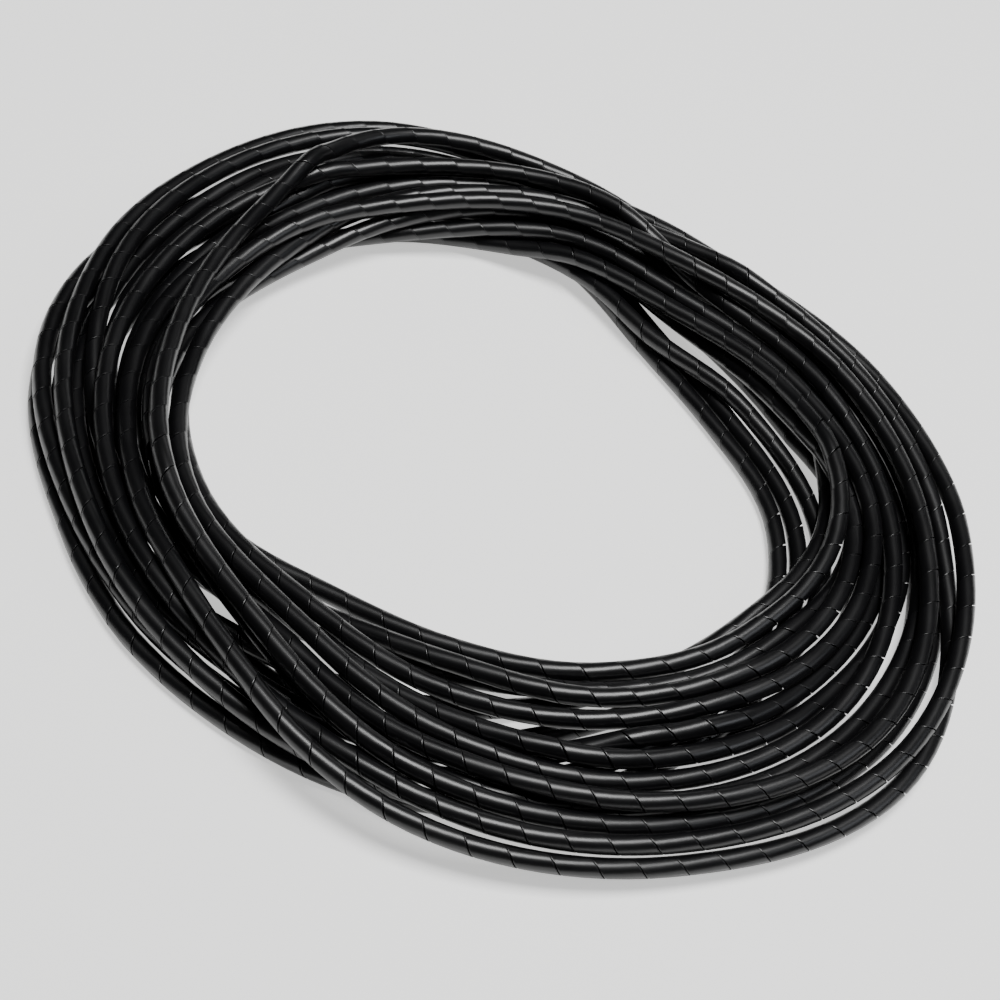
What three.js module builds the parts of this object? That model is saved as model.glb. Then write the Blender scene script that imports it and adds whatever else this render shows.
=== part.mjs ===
import * as THREE from "three";

// A loose coil of spiral cable wrap, lying flat.  Millimetres, +Z up.
// The origin is on the floor, in the middle of the coil's outline.

// sizes a user would change
const tubeOuterDiameter = 6.0;
const wallThickness = 0.9;
const layClearance = 0.5; // air kept between strands that lie on each other
const endBoreDepth = 12.0; // how deep the hollow is cut in at both ends

// Each row is one turn of the strand, given every 30 degrees counter-clockwise from
// firstStationAngle.  A reach is the distance from the middle of the eye, mm.  The
// reaches were read by eye, and most were then moved by a fit to the coil's outline.
// A lift says how many turns higher or lower than its place in the winding the strand
// was thrown there, where the coil got tangled.
const firstStationAngle = -60;
const turns = [
  { reaches: [116, 120, 121, 100, 93, 104, 118, 128, 130, 122, 115, 111] },
  { reaches: [102, 103.5, 93, 77.5, 77, 95, 120, 139, 148.5, 134.5, 130.5, 129.5] },
  { reaches: [121.5, 112.5, 100.5, 83, 80.5, 102, 124, 140, 145.5, 134.5, 128, 124] },
  { reaches: [119.5, 112.5, 105, 86, 76.5, 96.5, 116.5, 132.5, 143, 131.5, 114, 100] },
  {
    reaches: [92.5, 95.5, 107, 108, 110.5, 122.5, 132.5, 114.5, 109, 111.5, 114, 132],
    lifts: [0, 0, 0, 0, 5, 13, 14, 14, 14, 14, 14, 13],
  },
  {
    reaches: [144, 151, 144, 130, 116, 125, 151.5, 150, 141, 131, 129, 130],
    lifts: [5, 0, 0, 0, 0, 0, 0, 0, 0, 0, 0, 0],
  },
  { reaches: [135.5, 144, 137, 124, 113, 123.5, 141, 141, 137.5, 129, 122, 120] },
  { reaches: [117.5, 121, 124, 113.5, 110.5, 122.5, 146, 147, 136.5, 120, 95.5, 88.5] },
  { reaches: [97.5, 109.5, 116, 110, 107, 119, 136.5, 134, 132, 118.5, 94.5, 90] },
  { reaches: [102, 114.5, 114, 97, 88, 99, 112.5, 123, 117, 101, 81.5, 80] },
  { reaches: [90.5, 104.5, 112.5, 101.5, 90.5, 96, 105, 112, 106, 101, 94.5, 101] },
  { reaches: [111, 120.5, 119, 104.5, 92.5, 96, 99, 108.5, 116.5, 111, 100.5, 108] },
  { reaches: [120, 127.5, 132, 116, 102, 103.5, 103, 106.5, 112.5, 113, 111.5, 126] },
  { reaches: [135, 142, 138, 123, 109.5, 110.5, 114.5, 116, 120, 121, 124, 140] },
  { reaches: [149.5, 160, 141.5, 124.5, 109, 106.5, 107, 103.5, 105, 108, 105.5, 116.5] },
  {
    reaches: [127.5, 134, 125.5, 111, 100, 111.5, 118, 126, 128.5, 126, 125.5, 135],
    lifts: [0, 0, 0, 0, 0, 0, 0, 0, 0, -1, -3, -1],
  },
  {
    reaches: [147, 156, 146, 131.5, 115.5, 116.5, 122, 122, 123, 118, 108.5, 121],
    lifts: [0, 0, 0, 0, 0, 0, -1, -5, -6, -6, -4, -1],
  },
  { reaches: [137.5, 147.5, 136, 119, 99.5, 100, 99.5, 106, 111.5, 111.5] },
];

const stationsPerTurn = 12;
const stepsPerStation = 10; // route points between two stations
const pointsPerFacetStep = 3; // route points that one facet of the solid spans
const sectionSides = 8;

// how the turns settle on each other
const fallingRounds = 210;
const closingRounds = 120; // the turns only push each other clear
const fallPerRound = 0.65;
const fallingPushes = 4;
const closingPushes = 5;
const pullToPlan = 0.15; // share of a strand's sideways drift that is taken back
const planStiffness = 14; // bending stiffness, as smoothing passes a round
const heightStiffness = 12;
const pushGain = 1.3;
const slackeningShare = 0.6; // share of the closing rounds over which the bending stiffness fades
const pairMargin = 7; // how much farther than touching a pair may lie to be watched
const roundsPerPairing = 10;

const tubeRadius = tubeOuterDiameter / 2;
const boreRadius = tubeRadius - wallThickness;
const restSpacing = tubeOuterDiameter + layClearance;
const pointsPerTurn = stationsPerTurn * stepsPerStation;
const crossingWidth = 0.5 * restSpacing; // closer than this in plan, one lies over the other

// A smooth curve through the stations' values, at every point of the route.
function throughStations(values) {
  const last = values.length - 1;
  const valueAt = (k) => values[Math.min(Math.max(k, 0), last)];
  const along = [];
  for (let i = 0; i <= last * stepsPerStation; i += 1) {
    const station = Math.floor(i / stepsPerStation);
    const t = i / stepsPerStation - station;
    const a = valueAt(station - 1);
    const b = valueAt(station);
    const c = valueAt(station + 1);
    const d = valueAt(station + 2);
    const bend = 2 * a - 5 * b + 4 * c - d;
    const rise = -a + 3 * b - 3 * c + d;
    along.push(b + 0.5 * t * (c - a + t * (bend + t * rise)));
  }
  return along;
}

// The strand before it falls: the plan of the turns, each one above the one before.
function looseRoute() {
  const reaches = throughStations(turns.flatMap((turn) => turn.reaches));
  const lifts = throughStations(
    turns.flatMap((turn) => turn.lifts ?? turn.reaches.map(() => 0)),
  );
  const start = THREE.MathUtils.degToRad(firstStationAngle);
  const layers = lifts.map((lift, i) => i / pointsPerTurn + lift);
  const lowest = Math.min(...layers);
  return reaches.map((reach, i) => {
    const angle = start + (2 * Math.PI * i) / pointsPerTurn;
    const z = tubeRadius + (layers[i] - lowest) * restSpacing;
    return { x: reach * Math.cos(angle), y: reach * Math.sin(angle), z, layer: layers[i] };
  });
}

// Pulls every inner value towards the middle of its two neighbours.
function relax(values, passes) {
  for (let pass = 0; pass < passes; pass += 1) {
    let before = values[0];
    for (let i = 1; i < values.length - 1; i += 1) {
      const here = values[i];
      values[i] = 0.5 * here + 0.25 * (before + values[i + 1]);
      before = here;
    }
  }
}

function distanceBetween(a, b) {
  return Math.hypot(a.x - b.x, a.y - b.y, a.z - b.z);
}

// Pairs of a point i and a stretch from j to j + 1 of other turns that lie near it.
function nearPairs(route) {
  const reach = restSpacing + pairMargin;
  let longest = 0;
  for (let j = 0; j < route.length - 1; j += 1) {
    longest = Math.max(longest, distanceBetween(route[j], route[j + 1]));
  }
  const pairs = [];
  for (let i = 0; i < route.length; i += 1) {
    let j = 0;
    while (j < route.length - 1) {
      const distance = distanceBetween(route[i], route[j]);
      if (distance < reach && Math.abs(i - j) > pointsPerTurn / 4) pairs.push([i, j]);
      j += Math.max(1, Math.floor((distance - reach) / longest));
    }
  }
  return pairs;
}

// How a point must move to lie clear of a stretch of another turn, and where along
// the stretch it is nearest.  A strand that crosses another stays above or below it.
function clearance(here, from, to) {
  const run = { x: to.x - from.x, y: to.y - from.y, z: to.z - from.z };
  const off = { x: here.x - from.x, y: here.y - from.y, z: here.z - from.z };
  const dot = off.x * run.x + off.y * run.y + off.z * run.z;
  const share = dot / (run.x * run.x + run.y * run.y + run.z * run.z);
  const t = Math.min(Math.max(share, 0), 1);
  const x = off.x - t * run.x;
  const y = off.y - t * run.y;
  const z = off.z - t * run.z;
  const flat = Math.hypot(x, y);
  if (flat < crossingWidth) {
    const side = here.layer > from.layer ? 1 : -1;
    const short = Math.sqrt(restSpacing * restSpacing - flat * flat) - side * z;
    return short > 0 ? { t, x: 0, y: 0, z: side * short } : null;
  }
  const distance = Math.hypot(flat, z);
  const gain = (restSpacing - distance) / distance;
  return gain > 0 ? { t, x: gain * x, y: gain * y, z: gain * z } : null;
}

// Moves strands that come closer than restSpacing apart, and none below the floor.
function pushApart(route, pairs) {
  const moves = route.map(() => ({ x: 0, y: 0, z: 0, touches: 0 }));
  const add = (move, push, share) => {
    move.x += 0.5 * share * push.x;
    move.y += 0.5 * share * push.y;
    move.z += 0.5 * share * push.z;
    move.touches += Math.abs(share);
  };
  for (const [i, j] of pairs) {
    const push = clearance(route[i], route[j], route[j + 1]);
    if (push) {
      add(moves[i], push, 1);
      add(moves[j], push, push.t - 1);
      add(moves[j + 1], push, -push.t);
    }
  }
  route.forEach((point, i) => {
    const gain = pushGain / Math.max(moves[i].touches, 1);
    point.x += gain * moves[i].x;
    point.y += gain * moves[i].y;
    point.z = Math.max(point.z + gain * moves[i].z, tubeRadius);
  });
}

// Smooths one axis of the route, measured from where the plan has it.
function stiffen(route, axis, plan, kept, passes) {
  const drift = route.map((point, i) => (point[axis] - plan[i][axis]) * kept);
  relax(drift, passes);
  route.forEach((point, i) => {
    point[axis] = plan[i][axis] + drift[i];
  });
}

// Lets the turns fall until they lie on the floor and on each other.
function settledRoute() {
  const plan = looseRoute();
  const floor = plan.map(() => ({ z: 0 }));
  const route = plan.map((point) => ({ ...point }));
  let pairs = [];
  for (let round = 0; round < fallingRounds + closingRounds; round += 1) {
    if (round % roundsPerPairing === 0) pairs = nearPairs(route);
    const closed = (round - fallingRounds) / closingRounds;
    const falling = closed < 0;
    if (falling) {
      route.forEach((point) => {
        point.z -= fallPerRound;
      });
    }
    const kept = falling ? 1 - pullToPlan : 1;
    const stiffness = falling ? 1 : Math.max(0, 1 - closed / slackeningShare);
    stiffen(route, "x", plan, kept, Math.round(planStiffness * stiffness));
    stiffen(route, "y", plan, kept, Math.round(planStiffness * stiffness));
    stiffen(route, "z", floor, 1, Math.round(heightStiffness * stiffness));
    const pushes = falling ? fallingPushes : closingPushes;
    for (let k = 0; k < pushes; k += 1) pushApart(route, pairs);
  }
  return route;
}

// Moves the route so that the coil's outline is centred on the origin.
function centred(route) {
  const middleOf = (values) => (Math.min(...values) + Math.max(...values)) / 2;
  const middleX = middleOf(route.map((point) => point.x));
  const middleY = middleOf(route.map((point) => point.y));
  return route.map(({ x, y, z }) => new THREE.Vector3(x - middleX, y - middleY, z));
}

// One ring of the section, square to the strand, with a flat side down.
function sectionRing(centre, tangent, radius) {
  const side = new THREE.Vector3(tangent.y, -tangent.x, 0).normalize();
  const up = new THREE.Vector3().crossVectors(side, tangent).normalize();
  const ring = [];
  for (let k = 0; k < sectionSides; k += 1) {
    const turned = (2 * Math.PI * (k + 0.5)) / sectionSides;
    const point = centre.clone();
    point.addScaledVector(side, radius * Math.cos(turned));
    point.addScaledVector(up, radius * Math.sin(turned));
    ring.push(point);
  }
  return ring;
}

// The strand as one closed body: bore floor, bore, end face, outside, and the
// same again in the other order at the far end.
function strandGeometry() {
  const route = centred(settledRoute());
  const flatDrop = tubeRadius * (1 - Math.cos(Math.PI / sectionSides));
  const centres = [];
  for (let i = 0; i < route.length; i += pointsPerFacetStep) {
    centres.push(route[i].clone().setZ(route[i].z - flatDrop));
  }
  const last = centres.length - 1;
  const tangentAt = (k) => {
    const from = centres[Math.max(k - 1, 0)];
    const to = centres[Math.min(k + 1, last)];
    return new THREE.Vector3().subVectors(to, from).normalize();
  };
  const startIn = centres[0].clone().addScaledVector(tangentAt(0), endBoreDepth);
  const farIn = centres[last].clone().addScaledVector(tangentAt(last), -endBoreDepth);
  const rings = [];
  rings.push(sectionRing(startIn, tangentAt(0), boreRadius));
  rings.push(sectionRing(centres[0], tangentAt(0), boreRadius));
  centres.forEach((centre, k) => rings.push(sectionRing(centre, tangentAt(k), tubeRadius)));
  rings.push(sectionRing(centres[last], tangentAt(last), boreRadius));
  rings.push(sectionRing(farIn, tangentAt(last), boreRadius));

  const positions = [startIn, ...rings.flat(), farIn].flatMap((p) => [p.x, p.y, p.z]);
  const corner = (ring, k) => 1 + ring * sectionSides + (k % sectionSides);
  const farCentre = 1 + rings.length * sectionSides;
  const faces = [];
  for (let k = 0; k < sectionSides; k += 1) {
    faces.push(0, corner(0, k), corner(0, k + 1));
    faces.push(farCentre, corner(rings.length - 1, k + 1), corner(rings.length - 1, k));
  }
  for (let r = 0; r < rings.length - 1; r += 1) {
    for (let k = 0; k < sectionSides; k += 1) {
      faces.push(corner(r, k), corner(r + 1, k + 1), corner(r, k + 1));
      faces.push(corner(r, k), corner(r + 1, k), corner(r + 1, k + 1));
    }
  }
  const geometry = new THREE.BufferGeometry();
  geometry.setAttribute("position", new THREE.Float32BufferAttribute(positions, 3));
  geometry.setIndex(faces);
  geometry.computeVertexNormals();
  return geometry;
}

const blackPolyethylene = new THREE.MeshStandardMaterial({
  color: 0x151517,
  roughness: 0.42,
  metalness: 0.0,
});

const coil = new THREE.Group();
const strand = new THREE.Mesh(strandGeometry(), blackPolyethylene);
strand.name = "spiral_wrap_strand";
coil.add(strand);

export default coil;
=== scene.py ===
# A loose coil of black polyethylene spiral cable wrap on a pale floor.
# The wrap is one long strip, wound as a tube: a right-handed helical cut runs
# right through the tube's wall from one end to the other.
import bpy
import numpy as np
from mathutils import Matrix, Vector


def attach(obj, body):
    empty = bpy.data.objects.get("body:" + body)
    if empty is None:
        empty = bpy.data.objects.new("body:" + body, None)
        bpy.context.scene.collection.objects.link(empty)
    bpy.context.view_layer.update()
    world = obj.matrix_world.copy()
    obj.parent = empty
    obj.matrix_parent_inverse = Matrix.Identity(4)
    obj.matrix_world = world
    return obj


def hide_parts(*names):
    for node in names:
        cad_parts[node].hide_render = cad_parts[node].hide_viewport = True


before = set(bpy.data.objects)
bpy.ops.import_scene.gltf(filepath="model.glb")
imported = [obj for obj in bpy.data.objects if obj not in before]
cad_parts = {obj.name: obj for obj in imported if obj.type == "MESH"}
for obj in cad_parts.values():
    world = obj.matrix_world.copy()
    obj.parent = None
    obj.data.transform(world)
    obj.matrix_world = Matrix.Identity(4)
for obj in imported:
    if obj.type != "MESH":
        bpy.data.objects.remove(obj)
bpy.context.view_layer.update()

mm = 0.001

route = {
    "tubeDiameter": 6.0,
    "layClearance": 0.5,          # air kept between strands that lie on each other
    "firstAngle": -60.0,          # where the first reach of every row lies, degrees
    "stationsPerTurn": 12,
    "stepsPerStation": 10,
    "fallingRounds": 210,
    "closingRounds": 120,         # the turns only push each other clear
    "fallPerRound": 0.65,
    "fallingPushes": 4,
    "closingPushes": 5,
    "pullToPlan": 0.15,           # share of a strand's sideways drift that is taken back
    "planStiffness": 14,          # bending stiffness, as smoothing passes a round
    "heightStiffness": 12,
    "pushGain": 1.3,
    "slackeningShare": 0.6,       # share of the closing rounds over which the stiffness fades
    "pairMargin": 7.0,            # how much farther than touching a pair may lie to be watched
    "roundsPerPairing": 10,
    "ownStretch": 0.25,           # share of a turn on which a strand doesn't meet itself
    "crossingShare": 0.5,         # nearer than this in plan, one strand lies over the other
}

# Each row is one turn, given every 30 degrees: the distance from the middle of the eye, mm.
# The values were read off, and most were then moved by a fit to the coil's outline.
turnReaches = [
    [116, 120, 121, 100, 93, 104, 118, 128, 130, 122, 115, 111],
    [102, 103.5, 93, 77.5, 77, 95, 120, 139, 148.5, 134.5, 130.5, 129.5],
    [121.5, 112.5, 100.5, 83, 80.5, 102, 124, 140, 145.5, 134.5, 128, 124],
    [119.5, 112.5, 105, 86, 76.5, 96.5, 116.5, 132.5, 143, 131.5, 114, 100],
    [92.5, 95.5, 107, 108, 110.5, 122.5, 132.5, 114.5, 109, 111.5, 114, 132],
    [144, 151, 144, 130, 116, 125, 151.5, 150, 141, 131, 129, 130],
    [135.5, 144, 137, 124, 113, 123.5, 141, 141, 137.5, 129, 122, 120],
    [117.5, 121, 124, 113.5, 110.5, 122.5, 146, 147, 136.5, 120, 95.5, 88.5],
    [97.5, 109.5, 116, 110, 107, 119, 136.5, 134, 132, 118.5, 94.5, 90],
    [102, 114.5, 114, 97, 88, 99, 112.5, 123, 117, 101, 81.5, 80],
    [90.5, 104.5, 112.5, 101.5, 90.5, 96, 105, 112, 106, 101, 94.5, 101],
    [111, 120.5, 119, 104.5, 92.5, 96, 99, 108.5, 116.5, 111, 100.5, 108],
    [120, 127.5, 132, 116, 102, 103.5, 103, 106.5, 112.5, 113, 111.5, 126],
    [135, 142, 138, 123, 109.5, 110.5, 114.5, 116, 120, 121, 124, 140],
    [149.5, 160, 141.5, 124.5, 109, 106.5, 107, 103.5, 105, 108, 105.5, 116.5],
    [127.5, 134, 125.5, 111, 100, 111.5, 118, 126, 128.5, 126, 125.5, 135],
    [147, 156, 146, 131.5, 115.5, 116.5, 122, 122, 123, 118, 108.5, 121],
    [137.5, 147.5, 136, 119, 99.5, 100, 99.5, 106, 111.5, 111.5],
]

# How many turns higher or lower than its place in the winding the strand was thrown,
# from the first station of the row whose number is given.
turnLifts = {
    4: [0, 0, 0, 0, 5, 13, 14, 14, 14, 14, 14, 13],
    5: [5, 0, 0, 0, 0, 0, 0, 0, 0, 0, 0, 0],
    15: [0, 0, 0, 0, 0, 0, 0, 0, 0, -1, -3, -1],
    16: [0, 0, 0, 0, 0, 0, -1, -5, -6, -6, -4, -1],
}


def throughStations(values, steps):
    # a Catmull-Rom curve through the values: every station's value is met exactly,
    # and the slope there is half the step between its two neighbours
    values = np.array(values, float)
    last = len(values) - 1
    i = np.arange(last * steps + 1)
    station = i // steps
    t = i / steps - station
    a, b, c, d = (values[np.clip(station + k, 0, last)] for k in (-1, 0, 1, 2))
    bend = 2 * a - 5 * b + 4 * c - d
    rise = -a + 3 * b - 3 * c + d
    return b + 0.5 * t * (c - a + t * (bend + t * rise))


def looseRoute(r):
    # plan: reach times the cosine and sine of a steadily growing angle;
    # height: one strand higher every turn, and the lifts of the places where it was tangled
    reaches = throughStations(sum(turnReaches, []), r["stepsPerStation"])
    lifts = []
    for k, row in enumerate(turnReaches):
        lifts += turnLifts.get(k, [0] * len(row))
    lifts = throughStations(lifts, r["stepsPerStation"])
    perTurn = r["stationsPerTurn"] * r["stepsPerStation"]
    i = np.arange(len(reaches))
    angle = np.radians(r["firstAngle"]) + 2 * np.pi * i / perTurn
    layer = i / perTurn + lifts
    z = r["tubeDiameter"] / 2 + (layer - layer.min()) * (r["tubeDiameter"] + r["layClearance"])
    return np.stack([reaches * np.cos(angle), reaches * np.sin(angle), z], 1), layer


def relax(values, passes):
    # every inner value moves half way to the middle of its two neighbours
    for _ in range(passes):
        values[1:-1] = 0.5 * values[1:-1] + 0.25 * (values[:-2] + values[2:])


def nearPairs(points, reach, apart):
    # pairs of a point i and a stretch j..j+1 of another turn, by plain distance
    square = (points ** 2).sum(1)
    distances = square[:, None] + square[None, :] - 2 * points @ points.T
    i, j = np.nonzero(distances < reach * reach)
    keep = (np.abs(i - j) > apart) & (j < len(points) - 1)
    return i[keep], j[keep]


def pushApart(points, layer, pairs, r):
    # the nearest spot of each stretch to each point; where they are closer than rest,
    # both give way by half, upwards and downwards where one strand crosses the other
    rest = r["tubeDiameter"] + r["layClearance"]
    i, j = pairs
    run = points[j + 1] - points[j]
    off = points[i] - points[j]
    t = np.clip((off * run).sum(1) / (run * run).sum(1), 0, 1)
    away = off - t[:, None] * run
    flat = np.hypot(away[:, 0], away[:, 1])
    distance = np.hypot(flat, away[:, 2])
    side = np.where(layer[i] > layer[j], 1.0, -1.0)
    short = np.sqrt(np.maximum(rest * rest - flat * flat, 0)) - side * away[:, 2]
    crossing = flat < r["crossingShare"] * rest
    hit = np.where(crossing, short > 0, distance < rest)
    i, j, t, away, crossing = i[hit], j[hit], t[hit], away[hit], crossing[hit]
    push = away * ((rest - distance[hit]) / distance[hit])[:, None]
    upright = np.zeros_like(push)
    upright[:, 2] = side[hit] * short[hit]
    push = 0.5 * np.where(crossing[:, None], upright, push)
    count = len(points)
    touches = np.bincount(i, minlength=count) + np.bincount(j, 1 - t, count)
    touches += np.bincount(j + 1, t, count)
    for axis in range(3):
        p = push[:, axis]
        move = np.bincount(i, p, count) - np.bincount(j, (1 - t) * p, count)
        move -= np.bincount(j + 1, t * p, count)
        points[:, axis] += r["pushGain"] * move / np.maximum(touches, 1)
    points[:, 2] = np.maximum(points[:, 2], r["tubeDiameter"] / 2)


def settledRoute(r):
    # the turns fall, bend stiffly and push each other until they lie still
    plan, layer = looseRoute(r)
    points = plan.copy()
    rest = r["tubeDiameter"] + r["layClearance"]
    perTurn = r["stationsPerTurn"] * r["stepsPerStation"]
    for k in range(r["fallingRounds"] + r["closingRounds"]):
        if k % r["roundsPerPairing"] == 0:
            pairs = nearPairs(points, rest + r["pairMargin"], perTurn * r["ownStretch"])
        closed = (k - r["fallingRounds"]) / r["closingRounds"]
        falling = closed < 0
        if falling:
            points[:, 2] -= r["fallPerRound"]
        stiffness = 1 if falling else max(0, 1 - closed / r["slackeningShare"])
        drift = (points[:, :2] - plan[:, :2]) * (1 - r["pullToPlan"] if falling else 1)
        relax(drift, int(r["planStiffness"] * stiffness + 0.5))
        points[:, :2] = plan[:, :2] + drift
        relax(points[:, 2], int(r["heightStiffness"] * stiffness + 0.5))
        for _ in range(r["fallingPushes"] if falling else r["closingPushes"]):
            pushApart(points, layer, pairs, r)
    points[:, :2] -= (points[:, :2].min(0) + points[:, :2].max(0)) / 2
    return points * mm


strip = {
    "outerRadius": route["tubeDiameter"] / 2 * mm,
    "wall": 0.9 * mm,
    "pitch": 12.3 * mm,
    "cut": 0.22 * mm,             # the cut's width where the strand is straight
    "tightestCut": 0.05 * mm,     # what is left of it on the inside of a bend
    "edgeRound": 0.22 * mm,       # how far in from its edges the strip is eased
    "edgeDrop": 0.035 * mm,       # how much lower the eased edge ends
    "sides": 13,                  # steps of the strip for each time it goes round
    "startAngle": 0.6,            # where round the tube the strip starts, radians
}


def alongRoute(points, s):
    # a smooth curve through the route's points, by its length: the place at each length s,
    # the way to the right, the way down, and the bend (one over its radius, as a vector)
    steps = np.linalg.norm(np.diff(points, axis=0), axis=1)
    length = np.concatenate([[0], np.cumsum(steps)])
    slope = np.gradient(points, length, axis=0)
    k = np.clip(np.searchsorted(length, s, side="right") - 1, 0, len(points) - 2)
    h = (length[k + 1] - length[k])[:, None]
    t = ((s - length[k]) / (length[k + 1] - length[k]))[:, None]
    p0, p1, m0, m1 = points[k], points[k + 1], slope[k] * h, slope[k + 1] * h
    place = ((2 * t ** 3 - 3 * t ** 2 + 1) * p0 + (t ** 3 - 2 * t ** 2 + t) * m0
             + (3 * t ** 2 - 2 * t ** 3) * p1 + (t ** 3 - t ** 2) * m1)
    turnRate = np.gradient(slope, length, axis=0)
    bend = (1 - t) * turnRate[k] + t * turnRate[k + 1]
    ahead = (1 - t) * slope[k] + t * slope[k + 1]
    ahead /= np.linalg.norm(ahead, axis=1)[:, None]
    right = np.cross(ahead, [0.0, 0.0, 1.0])
    right /= np.linalg.norm(right, axis=1)[:, None]
    down = np.cross(ahead, right)
    return place, right, down, bend


def stripSection(w):
    # The section is a loop of seven points: an eased edge, three on the outside, the other
    # eased edge and two on the inside.  Each has its side of the strip's middle (-1, 0 or 1),
    # whether it is drawn in from the edge, and its distance from the tube's axis.
    outer = w["outerRadius"]
    inner = outer - w["wall"]
    edge = outer - w["edgeDrop"]
    return [(-1, 0, edge), (-1, 1, outer), (0, 0, outer), (1, 1, outer),
            (1, 0, edge), (1, 0, inner), (-1, 0, inner)]


def wrapStrand(points, w, section):
    # The strip goes round the tube's axis as it goes along: at step k it stands at the
    # angle 2 pi k / sides and at the length pitch * k / sides.
    total = np.linalg.norm(np.diff(points, axis=0), axis=1).sum()
    halfPitch = w["pitch"] / 2
    count = int((total - w["pitch"]) / w["pitch"] * w["sides"])
    k = np.arange(count + 1)
    turned = w["startAngle"] + 2 * np.pi * k / w["sides"]
    middle = halfPitch + w["pitch"] * k / w["sides"]
    _, right, down, bend = alongRoute(points, middle)
    outward = np.cos(turned)[:, None] * right + np.sin(turned)[:, None] * down
    stretch = 1 - w["outerRadius"] * (outward * bend).sum(1)     # over 1 outside a bend
    half = np.minimum((w["pitch"] - w["cut"]) / 2 / stretch, (w["pitch"] - w["tightestCut"]) / 2)
    half = np.minimum(half, np.minimum(middle, total - middle))
    rings = []
    for way, drawnIn, radius in section:
        s = middle + way * (half - drawnIn * w["edgeRound"])
        place, sideRight, sideDown, _ = alongRoute(points, s)
        spoke = np.cos(turned)[:, None] * sideRight + np.sin(turned)[:, None] * sideDown
        rings.append(place + radius * spoke)
    vertices = np.stack(rings, 1)
    return vertices.reshape(-1, 3), middle, turned, half, total


def stripMesh(name, points, w):
    # quads between each section and the next, and one face over either end of the strip
    section = stripSection(w)
    vertices, middle, turned, half, total = wrapStrand(points, w, section)
    ways = [way for way, _, _ in section]
    sectionPoints = len(section)
    middlePoint = ways.index(0)
    count = len(middle)
    row = np.arange(count - 1)[:, None] * sectionPoints
    here = np.arange(sectionPoints)[None, :]
    ahead = (here + 1) % sectionPoints
    near, far = row, row + sectionPoints
    quads = np.stack([near + here, near + ahead, far + ahead, far + here], -1).reshape(-1, 4)
    mesh = bpy.data.meshes.new(name)
    faces = [tuple(q) for q in quads.tolist()]
    faces.append(tuple(range(sectionPoints - 1, -1, -1)))
    faces.append(tuple(range((count - 1) * sectionPoints, count * sectionPoints)))
    mesh.from_pydata(vertices.tolist(), [], faces)
    # the map's first number counts turns round the tube, the second counts pitches along it
    uvLayer = mesh.uv_layers.new(name="strip")
    along = (middle[:, None] + np.array(ways)[None, :] * half[:, None]).reshape(-1)
    around = np.repeat(turned / (2 * np.pi), sectionPoints)
    index = np.empty(len(mesh.loops), dtype=np.int64)
    mesh.loops.foreach_get("vertex_index", index)
    uv = np.stack([around[index], along[index] / w["pitch"]], 1)
    uvLayer.data.foreach_set("uv", uv.reshape(-1).astype(np.float32))
    mesh.polygons.foreach_set("use_smooth", np.ones(len(mesh.polygons), dtype=bool))
    # the long edges are sharp, all but the one along the middle of the outside, so that the
    # outside shades as one round tube across the cut
    ends = np.empty(len(mesh.edges) * 2, dtype=np.int64)
    mesh.edges.foreach_get("vertices", ends)
    start, end = ends.reshape(-1, 2).T
    lengthwise = (np.abs(start - end) == sectionPoints) & (start % sectionPoints != middlePoint)
    creases = mesh.attributes.new("sharp_edge", "BOOLEAN", "EDGE")
    creases.data.foreach_set("value", lengthwise)
    mesh.update()
    piece = bpy.data.objects.new(name, mesh)
    bpy.context.scene.collection.objects.link(piece)
    return piece, total


def linear(hexColour):
    # sRGB hex to linear RGBA
    values = [int(hexColour[k:k + 2], 16) / 255 for k in (1, 3, 5)]
    return tuple(v / 12.92 if v <= 0.04045 else ((v + 0.055) / 1.055) ** 2.4 for v in values) + (1.0,)


def addNode(tree, kind, settings=None, links=None):
    # a node with its settings (properties or socket values) and its inputs' links
    node = tree.nodes.new(kind)
    for key, value in (settings or {}).items():
        if key in node.inputs:
            node.inputs[key].default_value = value
        else:
            setattr(node, key, value)
    for key, source in (links or {}).items():
        tree.links.new(source, node.inputs[key])
    return node


def newMaterial(name):
    material = bpy.data.materials.new(name)
    material.use_nodes = True
    material.node_tree.nodes.clear()
    return material, material.node_tree


# Extruded polyethylene with carbon black: neutral near-black, and a waxy skin whose
# highlights are broad and soft.
polyethylene = {
    "colour": "#070708",
    "dustyColour": "#0c0c0e",
    "roughness": (0.29, 0.38),
    "ior": 1.51,
    "drawLines": 9.0,             # lines along the tube each time round it, coarser than real
    "lineChange": 0.35,           # how much a line changes over one pitch of the cut
    "lineStrength": 0.5,
    "waxSpots": 900.0,            # to the metre: handling marks of about 1 mm
    "spotStrength": 0.35,
    "patches": 45.0,              # to the metre: the gloss changes over about 20 mm
    "patchRange": (0.3, 0.7),     # the noise values between which the roughness runs
    "bumpHeight": 0.012 * mm,
}


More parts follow.
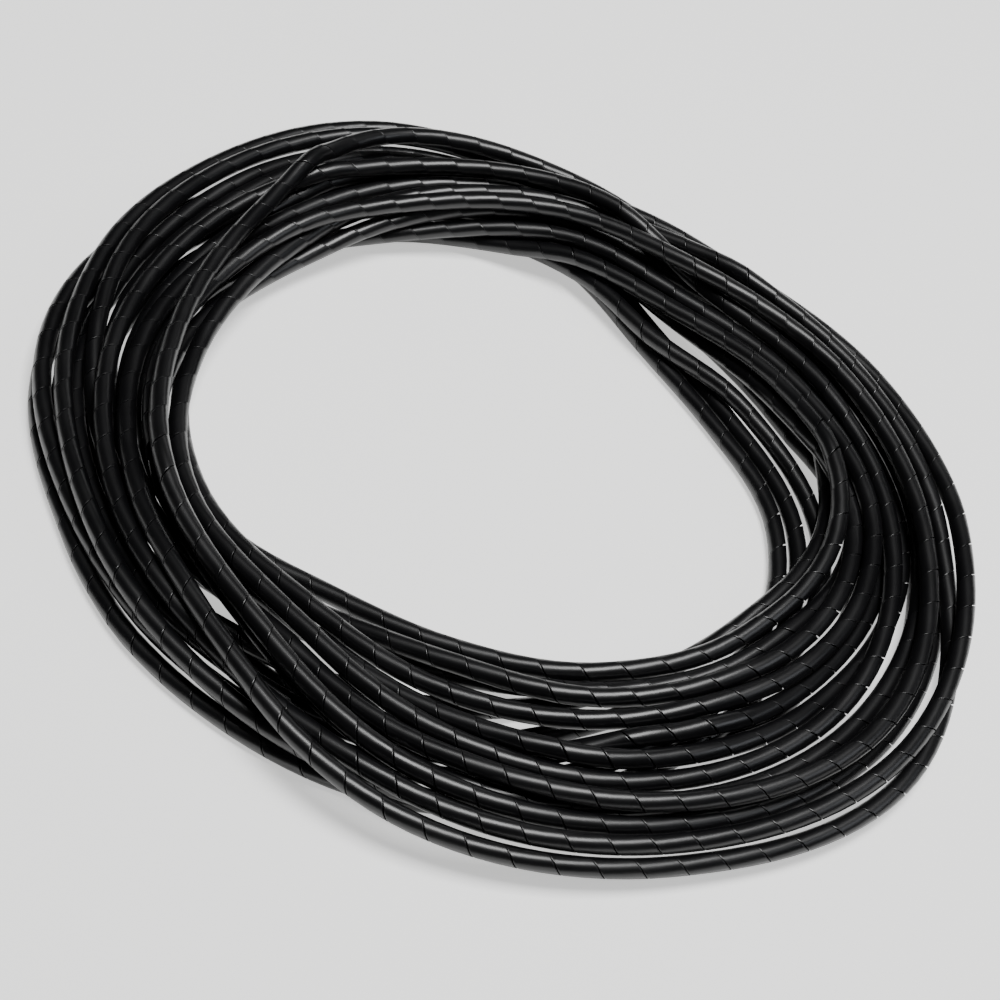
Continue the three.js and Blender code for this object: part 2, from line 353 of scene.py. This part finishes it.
def makePolyethylene(p):
    material, tree = newMaterial("extruded carbon black polyethylene")
    uv = addNode(tree, "ShaderNodeUVMap", {"uv_map": "strip"})
    place = addNode(tree, "ShaderNodeTexCoord")
    stretched = addNode(tree, "ShaderNodeMapping", {"Scale": (p["drawLines"], p["lineChange"], 1.0)},
                        {"Vector": uv.outputs["UV"]})
    lines = addNode(tree, "ShaderNodeTexNoise", {"Scale": 1.0, "Detail": 3.0, "Roughness": 0.6},
                    {"Vector": stretched.outputs["Vector"]})
    spots = addNode(tree, "ShaderNodeTexNoise", {"Scale": p["waxSpots"], "Detail": 2.0, "Roughness": 0.5},
                    {"Vector": place.outputs["Object"]})
    patches = addNode(tree, "ShaderNodeTexNoise", {"Scale": p["patches"], "Detail": 2.0},
                      {"Vector": place.outputs["Object"]})
    gloss = addNode(tree, "ShaderNodeMapRange",
                    {"From Min": p["patchRange"][0], "From Max": p["patchRange"][1],
                     "To Min": p["roughness"][0], "To Max": p["roughness"][1]},
                    {"Value": patches.outputs["Fac"]})
    # a mix of colours has them at its sockets 6 and 7, and the result at 2
    tint = addNode(tree, "ShaderNodeMix", {"data_type": "RGBA"}, {"Factor": spots.outputs["Fac"]})
    tint.inputs[6].default_value = linear(p["colour"])
    tint.inputs[7].default_value = linear(p["dustyColour"])
    spotBump = addNode(tree, "ShaderNodeBump",
                       {"Strength": p["spotStrength"], "Distance": p["bumpHeight"]},
                       {"Height": spots.outputs["Fac"]})
    lineBump = addNode(tree, "ShaderNodeBump",
                       {"Strength": p["lineStrength"], "Distance": p["bumpHeight"]},
                       {"Height": lines.outputs["Fac"], "Normal": spotBump.outputs["Normal"]})
    shader = addNode(tree, "ShaderNodeBsdfPrincipled", {"IOR": p["ior"], "Metallic": 0.0},
                     {"Base Color": tint.outputs[2], "Roughness": gloss.outputs["Result"],
                      "Normal": lineBump.outputs["Normal"]})
    addNode(tree, "ShaderNodeOutputMaterial", links={"Surface": shader.outputs["BSDF"]})
    return material


# White background paper, pressed and uncoated: even and matt, with a glow of its own that
# stands for the light of a light table under it.
paper = {
    "colour": "#f7f7f6",
    "roughness": 0.9,
    "glow": 0.80,
    "fibres": 600.0,              # to the metre: a pulp grain of about 1.7 mm, coarser than real
    "fibreStrength": 0.05,
    "fibreHeight": 0.02 * mm,
    "size": 6.0,
}


def makePaper(p):
    material, tree = newMaterial("matt white paper")
    place = addNode(tree, "ShaderNodeTexCoord")
    fibres = addNode(tree, "ShaderNodeTexNoise", {"Scale": p["fibres"], "Detail": 2.0},
                     {"Vector": place.outputs["Object"]})
    bump = addNode(tree, "ShaderNodeBump",
                   {"Strength": p["fibreStrength"], "Distance": p["fibreHeight"]},
                   {"Height": fibres.outputs["Fac"]})
    shader = addNode(tree, "ShaderNodeBsdfPrincipled",
                     {"Base Color": linear(p["colour"]), "Roughness": p["roughness"],
                      "Emission Color": linear(p["colour"]), "Emission Strength": p["glow"]},
                     {"Normal": bump.outputs["Normal"]})
    addNode(tree, "ShaderNodeOutputMaterial", links={"Surface": shader.outputs["BSDF"]})
    return material


camera = {
    # fitted: slope, roll, height and field of view to the spacing of the cuts, which looks
    # shorter the farther away they lie, and the place over the floor to the coil's outline
    "place": (0.0024, -0.4143, 0.4837),
    "right": (0.96728, 0.19512, 0.16214),
    "up": (-0.25370, 0.74396, 0.61820),
    "ahead": (0.0, 0.63911, -0.76912),
    "fieldOfView": 28.5,          # across the picture, degrees
    "nearest": 0.01,              # what lies nearer isn't drawn, metres
}


def makeCamera(c):
    lens = bpy.data.cameras.new("camera")
    lens.sensor_fit = "HORIZONTAL"
    lens.angle = np.radians(c["fieldOfView"])
    lens.clip_start = c["nearest"]
    holder = bpy.data.objects.new("camera", lens)
    turned = Matrix([c["right"], c["up"], tuple(-v for v in c["ahead"])]).transposed()
    holder.matrix_world = Matrix.Translation(c["place"]) @ turned.to_4x4()
    bpy.context.scene.collection.objects.link(holder)
    bpy.context.scene.camera = holder


# name: where it stands, what it looks at, its width and height, its power in watts, its colour
lamps = {
    "overhead": ((0.20, 0.02, 1.40), (0.0, 0.0, 0.0), (0.55, 0.55), 24.0, "#ffffff"),
    "softbox right": ((1.20, -0.10, 0.90), (0.0, 0.0, 0.0), (0.4, 0.6), 2.5, "#f4f8ff"),
    "softbox behind": ((0.45, 1.50, 0.60), (0.0, 0.0, 0.0), (1.1, 0.3), 1.5, "#ffffff"),
}

# what is left of the studio's light beside the lamps
studio = {"colour": "#ffffff", "strength": 0.02}


def makeLights(lamps, s):
    for name, (place, target, size, power, colour) in lamps.items():
        lamp = bpy.data.lights.new(name, "AREA")
        lamp.shape = "RECTANGLE"
        lamp.size, lamp.size_y = size
        lamp.energy = power
        lamp.color = linear(colour)[:3]
        holder = bpy.data.objects.new(name, lamp)
        holder.location = place
        holder.rotation_euler = (Vector(target) - Vector(place)).to_track_quat("-Z", "Y").to_euler()
        bpy.context.scene.collection.objects.link(holder)
    world = bpy.data.worlds.new("studio")
    world.use_nodes = True
    background = world.node_tree.nodes["Background"]
    background.inputs["Color"].default_value = linear(s["colour"])
    background.inputs["Strength"].default_value = s["strength"]
    bpy.context.scene.world = world


def makeFloor(p):
    half = p["size"] / 2
    corners = [(-half, -half, 0), (half, -half, 0), (half, half, 0), (-half, half, 0)]
    mesh = bpy.data.meshes.new("floor")
    mesh.from_pydata(corners, [], [(0, 1, 2, 3)])
    floor = bpy.data.objects.new("floor", mesh)
    bpy.context.scene.collection.objects.link(floor)
    floor.data.materials.append(makePaper(p))


makeCamera(camera)
points = settledRoute(route)
top = float(points[:, 2].max()) + strip["outerRadius"]
print("route settled: top at", round(top / mm, 1), "mm")
strand, strandLength = stripMesh("spiral_wrap", points, strip)
strand.data.materials.append(makePolyethylene(polyethylene))
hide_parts("spiral_wrap_strand")
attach(strand, "root")
print("strand made:", len(strand.data.polygons), "faces,", round(float(strandLength), 2), "m")
makeLights(lamps, studio)
makeFloor(paper)
print("lights and floor made")
